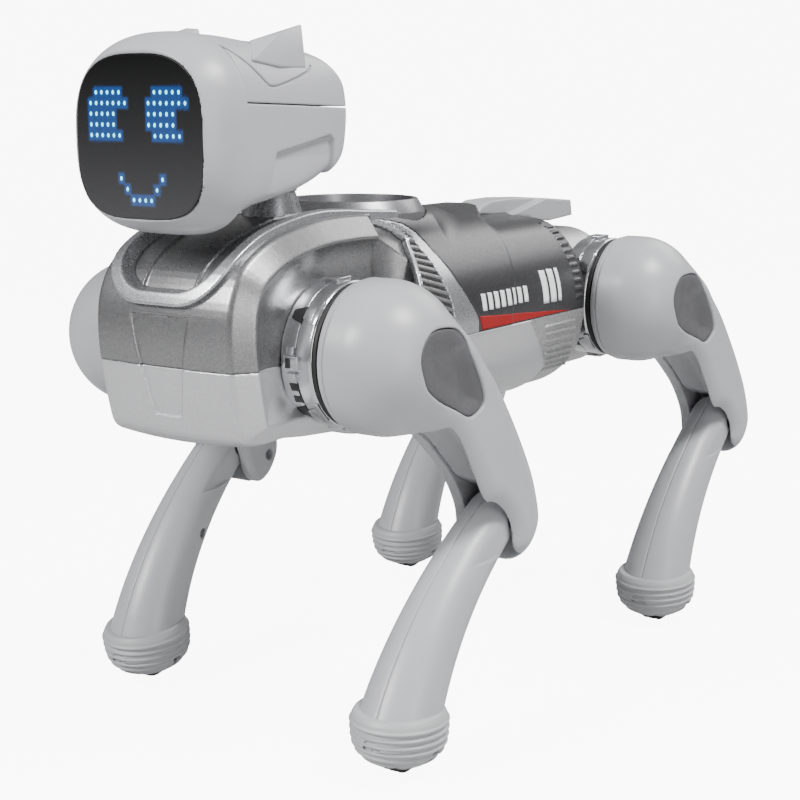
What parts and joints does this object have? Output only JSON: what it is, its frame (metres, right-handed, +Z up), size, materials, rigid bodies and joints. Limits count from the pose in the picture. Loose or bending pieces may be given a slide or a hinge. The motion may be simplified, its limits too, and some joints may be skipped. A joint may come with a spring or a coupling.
{
  "type": "quadruped robot dog",
  "caption": "Desk-size toy robot dog with a screen face on a turning neck, a round accessory socket in its back, and four legs with hip and knee joints.",
  "frame": {"origin": "on the floor under the middle of the robot's bounding box, on its left-right symmetry plane", "axes": "+Z up, -Y the way the nose points, +X to the dog's left side"},
  "size_m": [0.1832, 0.3383, 0.2666],
  "materials": {
    "head_plastic": "satin light grey",
    "leg_plastic": "satin light grey",
    "boot_plastic": "matte light grey",
    "scoop_plastic": "fine textured dark grey",
    "silver_dark": "plastic with darker metallic silver paint",
    "silver_light": "plastic with metallic silver paint",
    "trim_silver": "plastic with bright metallic silver paint",
    "collar_silver": "plastic with bright metallic silver paint",
    "rear_grey": "plastic with dark metallic paint and a red wedge",
    "vent_dark": "ribbed dark grey",
    "gasket_black": "matte",
    "lens_black": "smoked, glossy",
    "board_green": "solder mask",
    "board_black": "solder mask with blue lamps",
    "frame_black": "moulded",
    "motor_steel": "satin",
    "battery_wrap": "shrink wrap",
    "screw_steel": "zinc plated",
    "speaker_black": "moulded",
    "roller_black": "matte"
  },
  "bodies": {
    "torso": {"chassis_frame": "frame_black", "hip_gearmotors": "motor_steel", "hip_collars": "collar_silver", "hip_gaskets": "gasket_black", "battery_pack": "battery_wrap", "control_board": "board_green", "speaker": "speaker_black", "charge_port": "frame_black", "chest_upper_shell": "silver_dark", "chest_lower_shell": "silver_light", "back_deck": "trim_silver", "vent_cowl": "trim_silver", "side_vents": "vent_dark", "rear_upper_shell": "rear_grey", "rear_lower_shell": "silver_light", "battery_door": "silver_light", "tail_housing": "leg_plastic", "tail_fin": "leg_plastic", "body_screws": "screw_steel"},
    "power_switch": {"power_switch": "frame_black"},
    "head": {"neck_post": "trim_silver", "head_front_shell": "head_plastic", "screen_lens": "lens_black", "led_matrix": "board_black", "head_upper_housing": "head_plastic", "head_lower_housing": "head_plastic", "ears": "head_plastic"},
    "front_left_thigh": {"front_left_thigh_shell": "leg_plastic", "front_left_thigh_inner_cover": "leg_plastic", "front_left_scoop_cap": "scoop_plastic", "front_left_hip_flange": "leg_plastic"},
    "front_left_calf": {"front_left_calf_outer_shell": "leg_plastic", "front_left_calf_inner_shell": "leg_plastic", "front_left_foot_boot": "boot_plastic"},
    "front_left_roller": {"front_left_foot_roller": "roller_black"},
    "front_right_thigh": {"front_right_thigh_shell": "leg_plastic", "front_right_thigh_inner_cover": "leg_plastic", "front_right_scoop_cap": "scoop_plastic", "front_right_hip_flange": "leg_plastic"},
    "front_right_calf": {"front_right_calf_outer_shell": "leg_plastic", "front_right_calf_inner_shell": "leg_plastic", "front_right_foot_boot": "boot_plastic"},
    "front_right_roller": {"front_right_foot_roller": "roller_black"},
    "rear_left_thigh": {"rear_left_thigh_shell": "leg_plastic", "rear_left_thigh_inner_cover": "leg_plastic", "rear_left_scoop_cap": "scoop_plastic", "rear_left_hip_flange": "leg_plastic"},
    "rear_left_calf": {"rear_left_calf_outer_shell": "leg_plastic", "rear_left_calf_inner_shell": "leg_plastic", "rear_left_foot_boot": "boot_plastic"},
    "rear_left_roller": {"rear_left_foot_roller": "roller_black"},
    "rear_right_thigh": {"rear_right_thigh_shell": "leg_plastic", "rear_right_thigh_inner_cover": "leg_plastic", "rear_right_scoop_cap": "scoop_plastic", "rear_right_hip_flange": "leg_plastic"},
    "rear_right_calf": {"rear_right_calf_outer_shell": "leg_plastic", "rear_right_calf_inner_shell": "leg_plastic", "rear_right_foot_boot": "boot_plastic"},
    "rear_right_roller": {"rear_right_foot_roller": "roller_black"}
  },
  "joints": [
    {"name": "head_yaw", "type": "hinge", "parent": "torso", "child": "head", "pos_m": [0, -0.0992, 0.2], "axis": [0, 0, 1], "range_deg": [-45, 45]},
    {"name": "power_switch_slide", "type": "slide", "parent": "torso", "child": "power_switch", "axis": [0, 1, 0], "range_m": [0, 0.004]},
    {"name": "front_left_hip", "type": "hinge", "parent": "torso", "child": "front_left_thigh", "pos_m": [0.05, -0.1102, 0.15], "axis": [1, 0, 0], "range_deg": [-45, 45]},
    {"name": "front_left_knee", "type": "hinge", "parent": "front_left_thigh", "child": "front_left_calf", "pos_m": [0.073, -0.0562, 0.082], "axis": [1, 0, 0], "range_deg": [-46, 25]},
    {"name": "front_left_foot_roll", "type": "hinge", "parent": "front_left_calf", "child": "front_left_roller", "pos_m": [0.073, -0.1202, 0.0095], "axis": [1, 0, 0], "continuous": true},
    {"name": "front_right_hip", "type": "hinge", "parent": "torso", "child": "front_right_thigh", "pos_m": [-0.05, -0.1102, 0.15], "axis": [1, 0, 0], "range_deg": [-54, 36]},
    {"name": "front_right_knee", "type": "hinge", "parent": "front_right_thigh", "child": "front_right_calf", "pos_m": [-0.073, -0.04623, 0.09129], "axis": [1, 0, 0], "range_deg": [-46, 25]},
    {"name": "front_right_foot_roll", "type": "hinge", "parent": "front_right_calf", "child": "front_right_roller", "pos_m": [-0.073, -0.09784, 0.0095], "axis": [1, 0, 0], "continuous": true},
    {"name": "rear_left_hip", "type": "hinge", "parent": "torso", "child": "rear_left_thigh", "pos_m": [0.05, 0.0898, 0.15], "axis": [1, 0, 0], "range_deg": [-49.5, 40.5]},
    {"name": "rear_left_knee", "type": "hinge", "parent": "rear_left_thigh", "child": "rear_left_calf", "pos_m": [0.073, 0.14897, 0.08645], "axis": [1, 0, 0], "range_deg": [-46, 25]},
    {"name": "rear_left_foot_roll", "type": "hinge", "parent": "rear_left_calf", "child": "rear_left_roller", "pos_m": [0.073, 0.09039, 0.0095], "axis": [1, 0, 0], "continuous": true},
    {"name": "rear_right_hip", "type": "hinge", "parent": "torso", "child": "rear_right_thigh", "pos_m": [-0.05, 0.0898, 0.15], "axis": [1, 0, 0], "range_deg": [-52, 38]},
    {"name": "rear_right_knee", "type": "hinge", "parent": "rear_right_thigh", "child": "rear_right_calf", "pos_m": [-0.073, 0.15168, 0.08909], "axis": [1, 0, 0], "range_deg": [-46, 25]},
    {"name": "rear_right_foot_roll", "type": "hinge", "parent": "rear_right_calf", "child": "rear_right_roller", "pos_m": [-0.073, 0.09675, 0.0095], "axis": [1, 0, 0], "continuous": true}
  ]
}
